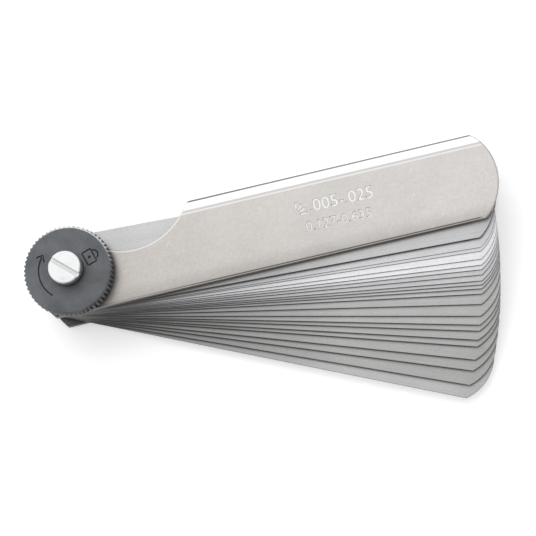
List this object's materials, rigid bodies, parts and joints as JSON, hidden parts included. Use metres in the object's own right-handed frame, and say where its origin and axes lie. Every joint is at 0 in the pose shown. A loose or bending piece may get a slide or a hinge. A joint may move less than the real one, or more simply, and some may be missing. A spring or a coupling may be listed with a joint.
{
  "type": "feeler gauge",
  "caption": "Pocket feeler gauge with thin steel leaves fanned from a folded steel case, locked by a knurled nut on a pivot post with a slotted stop screw.",
  "frame": {"origin": "on the pivot axis, in the rear face of the case, which the gauge rests on", "axes": "+X along the case to its closed end, +Y to the folded spine, +Z from the rear face to the lock nut"},
  "size_m": [0.0796, 0.0412, 0.0168],
  "materials": {
    "case_steel": "satin, fine lengthwise grain",
    "leaf_steel": "ground and polished spring steel",
    "nut_steel": "matte dark grey oxide",
    "screw_steel": "bright nickel",
    "post_steel": "turned steel"
  },
  "bodies": {
    "case": {"case": "case_steel", "pivot_post": "post_steel", "stop_screw": "screw_steel"},
    "thrust_washer": {"thrust_washer": "post_steel"},
    "lock_nut": {"lock_nut": "nut_steel"},
    "leaf_025": {"leaf_025": "leaf_steel"},
    "leaf_005": {"leaf_005": "leaf_steel"},
    "leaf_006": {"leaf_006": "leaf_steel"},
    "leaf_007": {"leaf_007": "leaf_steel"},
    "leaf_008": {"leaf_008": "leaf_steel"},
    "leaf_009": {"leaf_009": "leaf_steel"},
    "leaf_010": {"leaf_010": "leaf_steel"},
    "leaf_011": {"leaf_011": "leaf_steel"},
    "leaf_012": {"leaf_012": "leaf_steel"},
    "leaf_013": {"leaf_013": "leaf_steel"},
    "leaf_014": {"leaf_014": "leaf_steel"},
    "leaf_015": {"leaf_015": "leaf_steel"},
    "leaf_016": {"leaf_016": "leaf_steel"},
    "leaf_017": {"leaf_017": "leaf_steel"},
    "leaf_018": {"leaf_018": "leaf_steel"},
    "leaf_019": {"leaf_019": "leaf_steel"},
    "leaf_020": {"leaf_020": "leaf_steel"},
    "leaf_021": {"leaf_021": "leaf_steel"},
    "leaf_022": {"leaf_022": "leaf_steel"},
    "leaf_023": {"leaf_023": "leaf_steel"},
    "leaf_024": {"leaf_024": "leaf_steel"}
  },
  "joints": [
    {"name": "leaf_025_pivot", "type": "hinge", "parent": "case", "child": "leaf_025", "pos_m": [0, 0, 0], "axis": [0, 0, 1], "range_deg": [-177.4, 2.6]},
    {"name": "leaf_005_pivot", "type": "hinge", "parent": "case", "child": "leaf_005", "pos_m": [0, 0, 0], "axis": [0, 0, 1], "range_deg": [-176.1, 3.9]},
    {"name": "leaf_006_pivot", "type": "hinge", "parent": "case", "child": "leaf_006", "pos_m": [0, 0, 0], "axis": [0, 0, 1], "range_deg": [-175.6, 4.4]},
    {"name": "leaf_007_pivot", "type": "hinge", "parent": "case", "child": "leaf_007", "pos_m": [0, 0, 0], "axis": [0, 0, 1], "range_deg": [-174.5, 5.5]},
    {"name": "leaf_008_pivot", "type": "hinge", "parent": "case", "child": "leaf_008", "pos_m": [0, 0, 0], "axis": [0, 0, 1], "range_deg": [-173.7, 6.3]},
    {"name": "leaf_009_pivot", "type": "hinge", "parent": "case", "child": "leaf_009", "pos_m": [0, 0, 0], "axis": [0, 0, 1], "range_deg": [-173.1, 6.9]},
    {"name": "leaf_010_pivot", "type": "hinge", "parent": "case", "child": "leaf_010", "pos_m": [0, 0, 0], "axis": [0, 0, 1], "range_deg": [-172.4, 7.6]},
    {"name": "leaf_011_pivot", "type": "hinge", "parent": "case", "child": "leaf_011", "pos_m": [0, 0, 0], "axis": [0, 0, 1], "range_deg": [-171.6, 8.4]},
    {"name": "leaf_012_pivot", "type": "hinge", "parent": "case", "child": "leaf_012", "pos_m": [0, 0, 0], "axis": [0, 0, 1], "range_deg": [-171.1, 8.9]},
    {"name": "leaf_013_pivot", "type": "hinge", "parent": "case", "child": "leaf_013", "pos_m": [0, 0, 0], "axis": [0, 0, 1], "range_deg": [-170.6, 9.4]},
    {"name": "leaf_014_pivot", "type": "hinge", "parent": "case", "child": "leaf_014", "pos_m": [0, 0, 0], "axis": [0, 0, 1], "range_deg": [-169.9, 10.1]},
    {"name": "leaf_015_pivot", "type": "hinge", "parent": "case", "child": "leaf_015", "pos_m": [0, 0, 0], "axis": [0, 0, 1], "range_deg": [-168.5, 11.5]},
    {"name": "leaf_016_pivot", "type": "hinge", "parent": "case", "child": "leaf_016", "pos_m": [0, 0, 0], "axis": [0, 0, 1], "range_deg": [-166.9, 13.1]},
    {"name": "leaf_017_pivot", "type": "hinge", "parent": "case", "child": "leaf_017", "pos_m": [0, 0, 0], "axis": [0, 0, 1], "range_deg": [-165.7, 14.3]},
    {"name": "leaf_018_pivot", "type": "hinge", "parent": "case", "child": "leaf_018", "pos_m": [0, 0, 0], "axis": [0, 0, 1], "range_deg": [-164.9, 15.1]},
    {"name": "leaf_019_pivot", "type": "hinge", "parent": "case", "child": "leaf_019", "pos_m": [0, 0, 0], "axis": [0, 0, 1], "range_deg": [-163.7, 16.3]},
    {"name": "leaf_020_pivot", "type": "hinge", "parent": "case", "child": "leaf_020", "pos_m": [0, 0, 0], "axis": [0, 0, 1], "range_deg": [-162.8, 17.2]},
    {"name": "leaf_021_pivot", "type": "hinge", "parent": "case", "child": "leaf_021", "pos_m": [0, 0, 0], "axis": [0, 0, 1], "range_deg": [-161, 19]},
    {"name": "leaf_022_pivot", "type": "hinge", "parent": "case", "child": "leaf_022", "pos_m": [0, 0, 0], "axis": [0, 0, 1], "range_deg": [-159.5, 20.5]},
    {"name": "leaf_023_pivot", "type": "hinge", "parent": "case", "child": "leaf_023", "pos_m": [0, 0, 0], "axis": [0, 0, 1], "range_deg": [-157.5, 22.5]},
    {"name": "leaf_024_pivot", "type": "hinge", "parent": "case", "child": "leaf_024", "pos_m": [0, 0, 0], "axis": [0, 0, 1], "range_deg": [-155.7, 24.3]},
    {"name": "nut_lift", "type": "slide", "parent": "case", "child": "thrust_washer", "axis": [0, 0, 1], "range_m": [0, 0.00079]},
    {"name": "nut_turn", "type": "hinge", "parent": "thrust_washer", "child": "lock_nut", "pos_m": [0, 0, 0.012], "axis": [0, 0, 1], "range_deg": [0, 360]}
  ],
  "couplings": [
    {"joint": "nut_turn", "follows": "nut_lift", "rad_per_m": 7915.8}
  ]
}
